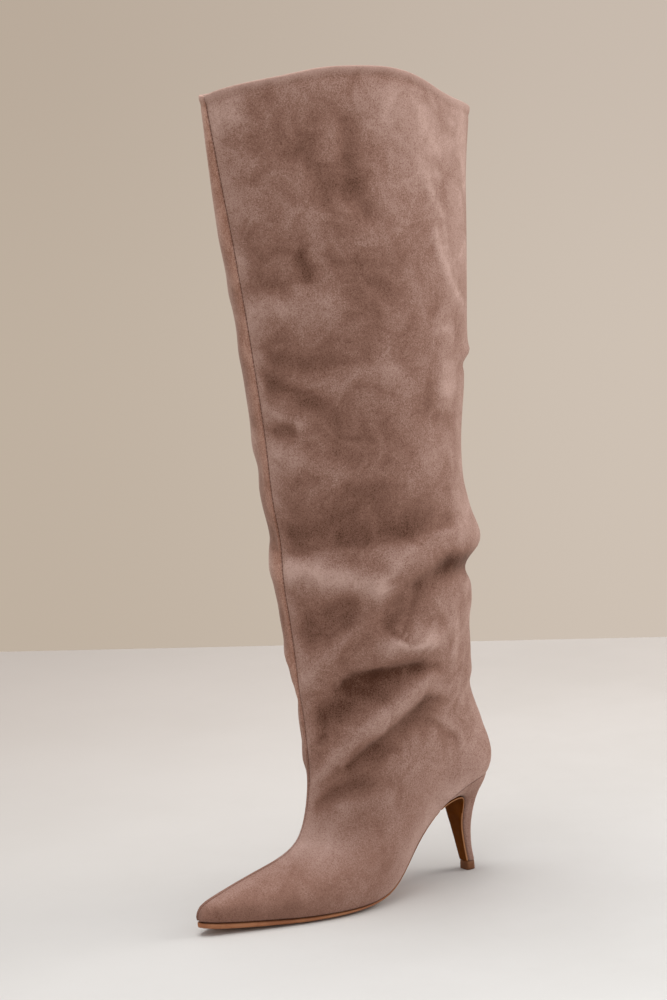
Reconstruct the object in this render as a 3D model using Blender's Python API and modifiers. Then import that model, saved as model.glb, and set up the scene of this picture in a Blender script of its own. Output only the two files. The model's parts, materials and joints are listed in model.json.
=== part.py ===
"""Over-the-knee boot for the left foot, standing empty on its forefoot and its heel.

Metres, +Z up. The toe points to -Y and the outer side of the foot faces +X. The origin is on the floor, in
the middle of the flat tread under the ball of the foot.
"""

import math
from collections import namedtuple

import bmesh
import bpy
import numpy as np

MM = 0.001

# Driving sizes
FOOT_LENGTH = 248.8 * MM  # toe tip to the back of the heel seat, in plan
TOE_AHEAD = 95.8 * MM  # toe tip ahead of the ball
BALL_WIDTH = 71 * MM  # of the sole
HEEL_HEIGHT = 76 * MM  # floor to the back of the seat
WALL = 2 * MM  # of the upper: outer cloth, lining and the stiffener between them
GAP = 0.3 * MM  # between two pieces that touch
INSOLE_THICK = 2.2 * MM
INSOLE_INSET = 4.1 * MM  # from the sole's edge, clear of the wall
INSOLE_ALONG = (0.05, 0.982)  # where it starts and ends, in parts of the foot's length
TOP_PIECE_THICK = 6.5 * MM
TOP_PIECE_SPREAD = 1.06  # towards the floor
BREAST_THICK = 1.4 * MM
BREAST_WIDTH = 0.9  # of the heel's width
TREAD_INSET = 8 * MM  # of the flat tread from the sole's edge
EDGE_INSET = 0.2 * MM
TOE_REACH = 25 * MM  # length of the toe over which an inset also moves a loop back
NARROWEST = 0.3 * MM  # half width of a loop at a pointed end
BREAST_AT = 0.776  # where the outsole ends and the heel begins, in parts of the foot's length

COLUMNS = 48  # round the upper and the sole
ROW_HEIGHT = 13  # of the upper's mesh, in millimetres, at most
EVENING = 0.12  # moves columns from the toe and the heel to the sides of the foot

# The sole from the toe tip back. along is in parts of the foot's length, rise, of its top, in parts of
# the heel's height. thick, of the sole at its middle, and edge, of its upright edge, are in millimetres.
# outer and inner are in parts of half the ball's width, from the line through ball and heel.
SoleStation = namedtuple("SoleStation", "along rise thick edge outer inner")
SOLE = [
    SoleStation(0.000, 0.126, 3.8, 3.3, -0.14, 0.14),
    SoleStation(0.020, 0.116, 3.8, 3.3, 0.05, 0.31),
    SoleStation(0.070, 0.097, 3.8, 3.3, 0.20, 0.45),
    SoleStation(0.146, 0.080, 3.8, 3.1, 0.42, 0.63),
    SoleStation(0.224, 0.0630, 3.8, 2.8, 0.62, 0.82),
    SoleStation(0.303, 0.0500, 3.8, 2.3, 0.80, 0.97),
    SoleStation(0.380, 0.0500, 3.8, 1.9, 0.93, 1.04),
    SoleStation(0.440, 0.0500, 3.8, 1.6, 0.98, 1.00),
    SoleStation(0.500, 0.0510, 3.4, 1.3, 0.94, 0.88),
    SoleStation(0.559, 0.070, 2.4, 1.0, 0.86, 0.74),
    SoleStation(0.618, 0.175, 1.5, 0.8, 0.77, 0.63),
    SoleStation(0.677, 0.470, 1.1, 0.8, 0.69, 0.57),
    SoleStation(0.736, 0.650, 1.0, 0.8, 0.65, 0.57),
    SoleStation(0.795, 0.785, 1.0, 0.8, 0.67, 0.62),
    SoleStation(0.874, 0.920, 1.0, 0.8, 0.71, 0.69),
    SoleStation(0.940, 0.971, 1.0, 0.8, 0.64, 0.63),
    SoleStation(1.000, 1.000, 1.0, 0.8, 0.00, 0.00),
]

# The upper from the sole to the collar. A section is a loop through a front and a back point, in
# millimetres. outer and inner are its half widths, and widest says how far back they lie. front_tip and
# back_tip are 1 on an ellipse and more on an end that narrows to a point. seam_x moves the front seam. dip
# lowers the sides below the seams. sole_shape says how much the loop keeps the sole's outline, and
# sole_rise how much it keeps the sole's rise.
Section = namedtuple(
    "Section",
    "name front_y front_z back_y back_z outer inner widest front_tip back_tip seam_x dip"
    " sole_shape sole_rise",
)
UPPER = [
    Section("feather", -95.8, 10.8, 153, 76.3, 36, 36, 0.42, 1.4, 1.0, -5, 0, 1.00, 1.00),
    Section("side", -96, 14.5, 155.4, 81, 37.5, 37.5, 0.42, 1.4, 1.0, -5, 0, 1.00, 1.00),
    Section("toe_top", -93.5, 19.5, 157, 86.5, 38.5, 38.5, 0.42, 1.4, 1.0, -5, 0, 0.95, 1.00),
    Section("toe_back", -87.5, 22.8, 157.2, 93, 38.5, 38.0, 0.42, 1.4, 1.0, -5, 1, 0.85, 0.95),
    Section("vamp_low", -71, 28, 155.6, 101.5, 37.5, 34, 0.44, 1.6, 1.0, -5, 5, 0.60, 0.80),
    Section("vamp_mid", -48, 35, 153.2, 110, 35, 29, 0.46, 1.8, 1.0, -4, 9, 0.30, 0.60),
    Section("vamp_high", -24, 41.3, 151.2, 118, 33.5, 27, 0.48, 1.9, 1.0, -4, 7, 0.10, 0.40),
    Section("bend_low", -12, 48.5, 148.5, 124.5, 33, 27, 0.49, 1.8, 1.0, -3, 5, 0, 0.25),
    Section("bend", -6, 60, 146, 131, 33, 27.5, 0.49, 1.6, 1.0, -2, 2, 0, 0.12),
    Section("bend_high", -1.5, 76, 143.5, 137, 33.5, 28, 0.50, 1.35, 1.0, -1, 0, 0, 0),
    Section("ankle", 0.5, 95, 141, 145, 34.5, 32, 0.50, 1.15, 1.0, 0, 0, 0, 0),
    Section("ankle_top", -1.5, 131, 140.5, 163, 39, 38, 0.50, 1.0, 1.0, 0, 0, 0, 0),
    Section("calf_low", -7, 188, 139.5, 196, 48, 51, 0.50, 1.0, 1.0, 0, 0, 0, 0),
    Section("calf", -14, 258, 140, 258, 58, 60, 0.50, 1.0, 1.1, 0, 0, 0, 0),
    Section("calf_mid", -19, 318, 136, 316, 64, 63, 0.50, 1.0, 1.1, 0, 0, 0, 0),
    Section("calf_high", -27, 390, 146, 386, 67, 67, 0.50, 1.0, 1.15, 0, 0, 0, 0),
    Section("knee_low", -38, 470, 155, 462, 65, 67, 0.50, 1.0, 1.3, 0, 0, 0, 0),
    Section("knee", -47, 525, 162, 512, 60, 61, 0.50, 1.05, 1.5, 0, 0, 0, 0),
    Section("collar", -54, 570, 169.5, 554, 55, 55, 0.50, 1.1, 1.6, 0, 0, 0, 0),
]

# How far the collar rises above the line from its front seam to its back seam, in degrees and millimetres.
CollarPoint = namedtuple("CollarPoint", "turn lift")
COLLAR = [
    CollarPoint(0, 0),
    CollarPoint(30, 6.5),
    CollarPoint(55, 13.5),
    CollarPoint(72, 20.5),
    CollarPoint(90, 22),
    CollarPoint(102, 17),
    CollarPoint(112, 8.5),
    CollarPoint(125, 3.5),
    CollarPoint(150, 1),
    CollarPoint(180, 0),
    CollarPoint(225, 4),
    CollarPoint(265, 11),
    CollarPoint(300, 6),
    CollarPoint(330, 2),
    CollarPoint(360, 0),
]
LIFT_SECTIONS = 2  # below the collar, over which the rows come to follow it

# The slouch of the shaft. turn is in degrees from the front seam by the outer side to the back seam at 180,
# the rest in millimetres: the fold's height, its half length round the shaft, its half width, how much it
# climbs per millimetre towards the back, and how far it stands out, or sinks in below zero.
Fold = namedtuple("Fold", "turn height half_length half_width climb out")
FOLDS = [
    # back seam
    Fold(170, 386, 35, 7, 0.0, 4.5),
    Fold(170, 373, 35, 7, 0.0, -5),
    Fold(168, 275, 45, 10, 0.0, 5),
    Fold(166, 250, 50, 13, 0.0, 13.5),
    Fold(166, 229, 42, 7, 0.0, -9),
    Fold(166, 208, 48, 10, 0.0, 4.5),
    Fold(170, 170, 40, 20, 0.0, 2.5),
    # outer side
    Fold(50, 302, 60, 22, 0.0, 3),
    Fold(48, 268, 60, 15, 0.05, -4),
    Fold(65, 241, 60, 12, 0.08, 5),
    Fold(50, 214, 28, 10, 0.0, -3),
    Fold(85, 216, 24, 9, 1.0, -4),
    Fold(50, 190, 45, 10, 0.75, 4),
    Fold(88, 184, 26, 9, -0.25, 3),
    Fold(60, 159, 40, 9, 0.3, -6),
    Fold(60, 127, 35, 10, 0.7, 4),
    Fold(72, 110, 26, 8, 0.9, -3),
    Fold(38, 83, 18, 8, -0.4, -3),
    # inner side
    Fold(285, 304, 45, 22, 0.0, 2.5),
    Fold(275, 264, 40, 15, -0.1, -3),
    Fold(270, 236, 42, 12, -0.15, 4),
    Fold(268, 210, 36, 10, -0.4, -4),
    Fold(270, 188, 36, 10, -0.5, 3.5),
    Fold(272, 158, 32, 9, -0.3, -4.5),
    Fold(275, 127, 28, 10, -0.6, 3),
]

# The heel from the seat down to the top piece, in millimetres. drop goes from 0 at the seat to 1 at the
# bottom.
HeelSection = namedtuple("HeelSection", "drop front_y back_y half_width")
HEEL = [
    HeelSection(0.00, 98.0, 152.6, 24.5),
    HeelSection(0.05, 107.0, 151.8, 22.8),
    HeelSection(0.10, 116.0, 148.9, 20.6),
    HeelSection(0.16, 123.5, 145.4, 17.8),
    HeelSection(0.23, 127.0, 142.7, 15.2),
    HeelSection(0.33, 127.8, 140.7, 12.8),
    HeelSection(0.45, 128.3, 139.9, 9.9),
    HeelSection(0.60, 129.6, 139.2, 7.2),
    HeelSection(0.75, 131.5, 139.1, 6.0),
    HeelSection(0.88, 133.2, 140.1, 5.3),
    HeelSection(1.00, 135.0, 141.9, 4.9),
]
HEEL_STATIONS = 14
HEEL_ROWS = 16
HEEL_CROWDING = 1.4  # crowds the heel's rows towards the seat
BOXY = 6  # the power that squares the heel's front corners; 2 is round


def rising_slopes(xs, ys):
    """Slopes of a smooth curve through the points that never overshoots them."""
    steps = np.diff(xs)
    chords = np.diff(ys) / steps
    slopes = np.zeros_like(ys)
    slopes[0] = chords[0]
    slopes[-1] = chords[-1]
    for i in range(1, len(ys) - 1):
        if chords[i - 1] * chords[i] > 0:
            before = 2 * steps[i] + steps[i - 1]
            after = steps[i] + 2 * steps[i - 1]
            slopes[i] = (before + after) / (before / chords[i - 1] + after / chords[i])
    return slopes


def smooth(at, xs, ys):
    """The value at the given places of a smooth curve through the points."""
    xs = np.asarray(xs, float)
    ys = np.asarray(ys, float)
    slopes = rising_slopes(xs, ys)
    at = np.clip(at, xs[0], xs[-1])
    i = np.clip(np.searchsorted(xs, at, side="right") - 1, 0, len(xs) - 2)
    span = xs[i + 1] - xs[i]
    t = (at - xs[i]) / span
    rest = 1 - t
    return (
        ys[i] * (1 + 2 * t) * rest**2
        + slopes[i] * span * t * rest**2
        + ys[i + 1] * t**2 * (3 - 2 * t)
        - slopes[i + 1] * span * t**2 * rest
    )


def roundness(along):
    """Turns a place along the foot into an angle, so that widths read over it close in round ends."""
    return np.arccos(np.clip(1 - 2 * np.asarray(along, float), -1, 1))


def sole_value(name, y):
    """One of the sole's columns at a place along the foot."""
    along = (np.asarray(y, float) + TOE_AHEAD) / FOOT_LENGTH
    return smooth(along, [station.along for station in SOLE], [getattr(station, name) for station in SOLE])


def sole_top(y):
    """Height of the sole's upper face."""
    return HEEL_HEIGHT * sole_value("rise", y)


def sole_edges(along):
    """The sole's outer and inner edge, as x."""
    angles = roundness([station.along for station in SOLE])
    outer = smooth(roundness(along), angles, [station.outer for station in SOLE])
    inner = smooth(roundness(along), angles, [station.inner for station in SOLE])
    return outer * BALL_WIDTH / 2, -inner * BALL_WIDTH / 2


def turns(count):
    """Angles round a loop, from the front seam by the outer side and the back seam to the inner side."""
    return np.arange(count) * 2 * math.pi / count


def along_foot(turn, widest):
    """How far back each turn lies, in parts of the loop's length."""
    even = turn - EVENING * np.sin(2 * turn)
    back_half = np.cos(turn) < 0
    return np.where(back_half, widest - (1 - widest) * np.cos(even), widest * (1 - np.cos(even)))


def fold_relief(turn, height, girth):
    """How far the folds push the wall out, at each turn and height."""
    out = np.zeros_like(height)
    for fold in FOLDS:
        off = np.angle(np.exp(1j * (turn - math.radians(fold.turn))))
        round_way = off * girth / (2 * math.pi)
        up = height - fold.height * MM - fold.climb * round_way
        out += (
            fold.out
            * MM
            * np.exp(-((round_way / (fold.half_length * MM)) ** 2) - (up / (fold.half_width * MM)) ** 2)
        )
    return out


def upper_rows():
    """Places between the sections where the upper has a row, more where two sections lie further apart."""
    rows = [0.0]
    for i in range(len(UPPER) - 1):
        here = UPPER[i]
        there = UPPER[i + 1]
        front = math.hypot(there.front_y - here.front_y, there.front_z - here.front_z)
        back = math.hypot(there.back_y - here.back_y, there.back_z - here.back_z)
        count = max(1, round(max(front, back) / ROW_HEIGHT))
        rows += [i + (k + 1) / count for k in range(count)]
    return np.array(rows)


def collar_lift(turn, row):
    """How far the rows near the collar rise between the two seams."""
    below = len(UPPER) - 1 - row
    lift = smooth(np.degrees(turn), [point.turn for point in COLLAR], [point.lift for point in COLLAR])
    return MM * lift * np.clip(1 - below / LIFT_SECTIONS, 0, 1) ** 2


def upper_surface(rows, angles):
    """Points of the upper's outside, one line of points for each row."""
    places = np.arange(len(UPPER))
    value = {
        name: smooth(rows, places, [getattr(section, name) for section in UPPER])[:, None]
        for name in Section._fields[1:]
    }
    turn = angles[None, :]
    back_half = np.cos(turn) < 0
    along = along_foot(turn, value["widest"])
    front_y = value["front_y"] * MM
    length = value["back_y"] * MM - front_y
    y = front_y + along * length

    tip = np.where(back_half, value["back_tip"], value["front_tip"])
    even = turn - EVENING * np.sin(2 * turn)
    spread = np.abs(np.sin(even)) ** tip
    outer_side = np.sin(turn) >= 0
    seam_x = value["seam_x"] * MM * (1 - along) ** 2
    oval = seam_x + MM * spread * np.where(outer_side, value["outer"], -value["inner"])
    outer_edge, inner_edge = sole_edges(along)
    stand = value["outer"] * MM / (BALL_WIDTH / 2)
    middle = (outer_edge + inner_edge) / 2
    last = middle + stand * (np.where(outer_side, outer_edge, inner_edge) - middle)
    x = value["sole_shape"] * last + (1 - value["sole_shape"]) * oval

    chord = sole_top(front_y) + along * (sole_top(front_y + length) - sole_top(front_y))
    z = MM * (value["front_z"] + along * (value["back_z"] - value["front_z"]))
    z = z + value["sole_rise"] * (sole_top(y) - chord) + collar_lift(turn, rows[:, None])
    z = z - MM * value["dip"] * spread * (1 - along)
    points = np.stack([x, y, z], axis=2)

    normals = outward(points)
    girth = np.linalg.norm(np.roll(points, -1, axis=1) - points, axis=2).sum(axis=1)[:, None]
    return points + normals * fold_relief(turn, z, girth)[:, :, None]


def outward(points):
    """Unit normals of a surface given as closed rows of points, pointing outwards."""
    around = np.roll(points, -1, axis=1) - np.roll(points, 1, axis=1)
    upward = np.gradient(points, axis=0)
    normals = np.cross(around, upward)
    return normals / np.linalg.norm(normals, axis=2, keepdims=True)


def loop_faces(row_count, column_count):
    """Quads between closed rows of points."""
    faces = []
    for i in range(row_count - 1):
        for j in range(column_count):
            k = (j + 1) % column_count
            low = i * column_count
            high = low + column_count
            faces.append((low + j, low + k, high + k, high + j))
    return faces


def cap_faces(first, column_count):
    """Strips across a loop that runs back along one side and returns along the other."""
    last = first + column_count - 1
    return [(first + j, first + j + 1, last - j - 1, last - j) for j in range(column_count // 2 - 1)]


def make_material(name, colour, roughness, metallic=0.0):
    """A plain finish for one kind of piece."""
    material = bpy.data.materials.new(name)
    material.use_nodes = True
    shader = material.node_tree.nodes["Principled BSDF"]
    shader.inputs["Base Color"].default_value = (*colour, 1)
    shader.inputs["Roughness"].default_value = roughness
    shader.inputs["Metallic"].default_value = metallic
    material.diffuse_color = (*colour, 1)
    return material


def make_object(name, points, faces, material, collection):
    """One named piece from points and faces, shaded smooth and with its faces pointing out."""
    mesh = bpy.data.meshes.new(name)
    mesh.from_pydata(np.asarray(points).reshape(-1, 3).tolist(), [], faces)
    shell = bmesh.new()
    shell.from_mesh(mesh)
    bmesh.ops.recalc_face_normals(shell, faces=shell.faces)
    shell.to_mesh(mesh)
    shell.free()
    mesh.shade_smooth()
    mesh.set_sharp_from_angle(angle=math.radians(40))
    mesh.materials.append(material)
    piece = bpy.data.objects.new(name, mesh)
    collection.objects.link(piece)
    return piece


def lofted(name, loops, material, collection):
    """A closed solid through loops of equal count, capped across its first and last loop."""
    loops = np.asarray(loops)
    row_count, column_count = loops.shape[:2]
    faces = loop_faces(row_count, column_count)
    faces += cap_faces(0, column_count)
    faces += cap_faces((row_count - 1) * column_count, column_count)
    return make_object(name, loops, faces, material, collection)


def make_upper(material, collection):
    """Foot and shaft in one wall, open at the collar and underneath."""
    rows = upper_rows()
    points = upper_surface(rows, turns(COLUMNS))
    piece = make_object("upper", points, loop_faces(len(rows), COLUMNS), material, collection)
    wall = piece.modifiers.new("wall", "SOLIDIFY")
    wall.thickness = WALL
    wall.offset = -1
    wall.use_even_offset = True
    return piece


def foot_stations(start, end):
    """Places along the foot between two others, at the upper's columns, so that the edges stay parallel."""
    half = turns(COLUMNS)[: COLUMNS // 2 + 1]
    inside = along_foot(half, UPPER[0].widest)
    return np.array([start, *[along for along in inside if start < along < end], end])


def profile(y):
    """The sole's upper face, straight between the upper's columns as the upper's own edge is."""
    knots = foot_stations(0.0, 1.0)[1:-1] * FOOT_LENGTH - TOE_AHEAD
    return np.interp(y, knots, sole_top(knots))


def foot_loop(start, end, inset, height=0.0, below=None):
    """A loop along the sole's outline between two places along the foot, drawn in by inset.

    It lies a height above the sole's upper face, or below it by that column of the sole's table.
    """
    along = foot_stations(start, end)
    outer, inner = sole_edges(along)
    middle = (outer + inner) / 2
    half = np.maximum((outer - inner) / 2 - inset, NARROWEST)
    y = along * FOOT_LENGTH - TOE_AHEAD
    y = y + inset * np.clip(1 - (y - y[0]) / TOE_REACH, 0, 1)
    z = profile(y) + height
    if below:
        z = z - MM * sole_value(below, y)
    outer_side = np.stack([middle + half, y, z], axis=1)
    inner_side = np.stack([middle - half, y, z], axis=1)
    return np.concatenate([outer_side, inner_side[::-1]])


def make_outsole(material, collection):
    """The thin sole from the toe to the breast of the heel."""
    loops = [
        foot_loop(0.0, BREAST_AT, TREAD_INSET, below="thick"),
        foot_loop(0.0, BREAST_AT, EDGE_INSET, below="edge"),
        foot_loop(0.0, BREAST_AT, EDGE_INSET),
    ]
    return lofted("outsole", loops, material, collection)


def make_insole(material, collection):
    """The padded board that lies on the outsole and the seat, inside the wall."""
    start, end = INSOLE_ALONG
    loops = [foot_loop(start, end, INSOLE_INSET, height=height) for height in (GAP, GAP + INSOLE_THICK)]
    return lofted("insole", loops, material, collection)


def heel_value(name, drop):
    """One of the heel's sizes at a drop below the seat."""
    return MM * smooth(drop, [section.drop for section in HEEL], [getattr(section, name) for section in HEEL])


def heel_height(y, drop):
    """Height of a place along the heel, at a drop below the seat."""
    seat = profile(y)
    return seat + drop * (TOP_PIECE_THICK + GAP - seat)


def heel_places():
    """Places from the breast to the back of the heel, in parts of its length, at the sole's stations too."""
    front, back = [heel_value(name, 0) for name in ("front_y", "back_y")]
    shared = (foot_stations(0.0, 1.0) * FOOT_LENGTH - TOE_AHEAD - front) / (back - front)
    own = (1 - np.cos(np.linspace(0, math.pi, HEEL_STATIONS))) / 2
    shared = [place for place in shared if NARROWEST < place < 1 - NARROWEST]
    return np.unique(np.round([*shared, *own], 6))


def heel_loop(drop):
    """A loop round the heel: square corners at the breast, round at the back."""
    front, back, half_width = [heel_value(name, drop) for name in ("front_y", "back_y", "half_width")]
    places = heel_places()
    from_middle = 2 * places - 1
    power = np.where(from_middle < 0, BOXY, 2)
    half = half_width * (1 - np.abs(from_middle) ** power) ** (1 / power)
    half = np.maximum(half, NARROWEST)
    y = front + places * (back - front)
    z = heel_height(y, drop)
    outer_side = np.stack([half, y, z], axis=1)
    inner_side = np.stack([-half, y, z], axis=1)
    return np.concatenate([outer_side, inner_side[::-1]])


def make_heel(material, collection):
    """The covered block from the seat to the top piece."""
    loops = [heel_loop(drop) for drop in np.linspace(0, 1, HEEL_ROWS) ** HEEL_CROWDING]
    return lofted("heel", loops, material, collection)


def make_top_piece(material, collection):
    """The wear tip that stands on the floor, under the heel and its breast cover."""
    loops = []
    for height, spread in ((TOP_PIECE_THICK, 1.0), (0.0, TOP_PIECE_SPREAD)):
        loop = heel_loop(1.0)
        front = loop[:, 1].min()
        back = loop[:, 1].max()
        forward = (GAP + BREAST_THICK) * (back - loop[:, 1]) / (back - front)
        loop[:, 1] = back + spread * (loop[:, 1] - forward - back)
        loop[:, 1] += (spread - 1) * (back - front)
        loop[:, 0] *= spread
        loop[:, 2] = height
        loops.append(loop)
    return lofted("top_piece", loops, material, collection)


def make_heel_breast(material, collection):
    """The sheet that carries the sole down the front of the heel."""
    drops = np.linspace(0, 1, HEEL_ROWS) ** HEEL_CROWDING
    front = heel_value("front_y", drops)
    line = np.stack([front, heel_height(front, drops)], axis=1)
    along = np.gradient(line, axis=0)
    along /= np.linalg.norm(along, axis=1, keepdims=True)
    forward = np.stack([along[:, 1], -along[:, 0]], axis=1)
    forward[-1] = (-1, 0)
    back_face = line + GAP * forward
    front_face = line + (GAP + BREAST_THICK) * forward
    half_width = BREAST_WIDTH * heel_value("half_width", drops)
    loops = []
    for half, near, far in zip(half_width, back_face, front_face):
        loops.append([(half, *far), (half, *near), (-half, *near), (-half, *far)])
    return lofted("heel_breast", loops, material, collection)


def clear_scene():
    for thing in list(bpy.data.objects):
        bpy.data.objects.remove(thing, do_unlink=True)


def main():
    clear_scene()
    collection = bpy.data.collections.new("over_the_knee_boot")
    bpy.context.scene.collection.children.link(collection)
    suede = make_material("taupe_suede", (0.25, 0.13, 0.095), 0.95)
    tan = make_material("tan_sole", (0.45, 0.2, 0.09), 0.55)
    wear = make_material("top_piece_brown", (0.12, 0.06, 0.035), 0.5)
    lining = make_material("lining_beige", (0.5, 0.36, 0.25), 0.8)
    make_upper(suede, collection)
    make_insole(lining, collection)
    make_outsole(tan, collection)
    make_heel(suede, collection)
    make_heel_breast(tan, collection)
    make_top_piece(wear, collection)


main()
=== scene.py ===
"""Looks of the over-the-knee boot: brushed suede, tan sole edge and covered heel.

Metres, +Z up. The toe points to -Y and the outer side of the foot faces +X.
"""

import json
import math
from collections import namedtuple

import bmesh
import bpy
import numpy as np
from mathutils import Matrix, Vector

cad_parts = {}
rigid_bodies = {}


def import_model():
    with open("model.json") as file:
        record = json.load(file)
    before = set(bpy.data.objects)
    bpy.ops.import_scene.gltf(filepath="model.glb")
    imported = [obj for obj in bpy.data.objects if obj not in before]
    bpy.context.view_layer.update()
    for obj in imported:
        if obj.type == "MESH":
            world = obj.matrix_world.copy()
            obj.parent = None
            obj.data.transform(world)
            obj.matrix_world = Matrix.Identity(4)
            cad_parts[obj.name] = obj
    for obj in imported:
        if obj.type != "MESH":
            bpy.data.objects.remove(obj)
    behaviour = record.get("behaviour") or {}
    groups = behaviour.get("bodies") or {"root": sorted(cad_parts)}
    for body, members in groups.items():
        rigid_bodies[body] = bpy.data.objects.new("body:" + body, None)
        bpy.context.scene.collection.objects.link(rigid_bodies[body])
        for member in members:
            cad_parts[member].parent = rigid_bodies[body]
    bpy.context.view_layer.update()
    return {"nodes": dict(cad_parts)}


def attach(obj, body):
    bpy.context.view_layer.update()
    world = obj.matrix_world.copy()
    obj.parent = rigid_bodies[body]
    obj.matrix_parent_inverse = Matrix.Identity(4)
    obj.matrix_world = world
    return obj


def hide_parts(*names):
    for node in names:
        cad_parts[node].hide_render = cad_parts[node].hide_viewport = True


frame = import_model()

MM = 0.001

# ---------------------------------------------------------------- sizes, in millimetres unless said otherwise
SEAM_CUTS = 3  # extra lines of mesh on each side of a seam
COLLAR_CUTS = 3  # extra lines of mesh under the collar's edge
SKIN_LEVELS = 2  # how many times the suede's mesh is subdivided
FIRM_LEVELS = 2  # and that of sole, insole, heel, breast and top piece
FIT_LEVELS = 1  # and that of the lining
RIM_BEND = 50  # degrees, the least bend at which a skin of the upper ends
STITCH_PITCH = 3.0
STITCH_GROOVE = (0.2, 0.95)  # off a seam, where its dark groove starts to fade and where it is gone
STITCH_END = (0.26, 0.36)  # share of the pitch, from a stitch's middle to where its thread dips in
STITCH_GAP = 0.45  # how dark the groove is between two stitches, against under one
SEAM_CALM = 11.0  # how far from the stiff front seam the creases fade out
SEAM_TONE = 0.4  # share of a crease's painted light and shade that stays at that seam
BACK_PAINTED_LIGHT = 0.4  # painted light and sheen towards the back of both sides, where they turn across the light
BACK_PAINTED_LIGHT_OFF = 48  # degrees from the back seam to where that painted light is strongest
BACK_PAINTED_LIGHT_HALF = 34  # degrees, how wide that is
INSTEP_PAINTED_LIGHT = 0.7  # painted light over the instep, whose top faces the light from above
INSTEP_MIDDLE = (-2.0, 50.0)  # along and up, middle of that patch
INSTEP_HALF = (22.0, 15.0)  # along and up, how wide it is
TOE_PAINTED_SHADE = -0.6  # painted shade low on the toe's sides, which face down away from the light
WAIST_PAINTED_LIGHT = 0.3  # painted light low on the waist
SEAM_PAINTED_LIGHT = 0.3  # painted light on the ridge beside the front seam
STRIP_WIDTH = 16.0  # of the warmer strip along the inner side of the front seam
STRIP_FOOT = 100.0  # above the floor, where that strip starts
STRIP_RISE = 70.0  # how far above that it is at full strength
STRIP_EDGE = 1.6  # how far from the seam it is at full strength
EDGE_HIGHLIGHT_WIDTH = 3.5  # of the painted highlight along the collar's rolled edge
UPRIGHT = 0.6  # least sideways share of the way a face looks, on an upright side
COLLAR_FLOOR = 0.5  # metres; an open edge above this height is the collar's

# Rings that carry an open edge on: how far each lies inward, and how far on past the edge.
COLLAR_RINGS = [
    (0.2, 0.35),
    (0.7, 0.65),
    (1.3, 0.7),
    (1.9, 0.45),
    (2.3, 0.0),
    (2.5, -3),
    (2.5, -9),
    (2.5, -17),
    (2.0, -17.6),
]
FEATHER_RINGS = [(0.6, 0.2), (1.5, 0.25), (3.2, 0.2)]

# Low relief along the seams and the open edges: off is how far from its line the middle of a ridge lies,
# and out is how far it stands out, or sinks in below zero. The feather edge is the one that meets the sole.
Ridge = namedtuple("Ridge", "line off half_width out puckered", defaults=[False])
RIDGES = [
    Ridge("front seam", 0, 0.8, -0.7),
    Ridge("front seam", 2.8, 1.6, 0.35, puckered=True),
    Ridge("front seam", -2.4, 1.5, 0.3),
    Ridge("back seam", 0, 0.9, -0.5),
    Ridge("back seam", 2.6, 1.6, 0.25),
    Ridge("collar", 1.5, 3, 0.4),
    Ridge("collar", 6, 2, -0.3),
    Ridge("feather edge", 0, 1.2, -0.4),
]

# Waves of the pucker along the front seam: how strong, how long over two pi, and how far on in radians.
PUCKER_WAVES = [(0.35, 9.0, 0.0), (0.25, 3.7, 1.0)]
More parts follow.
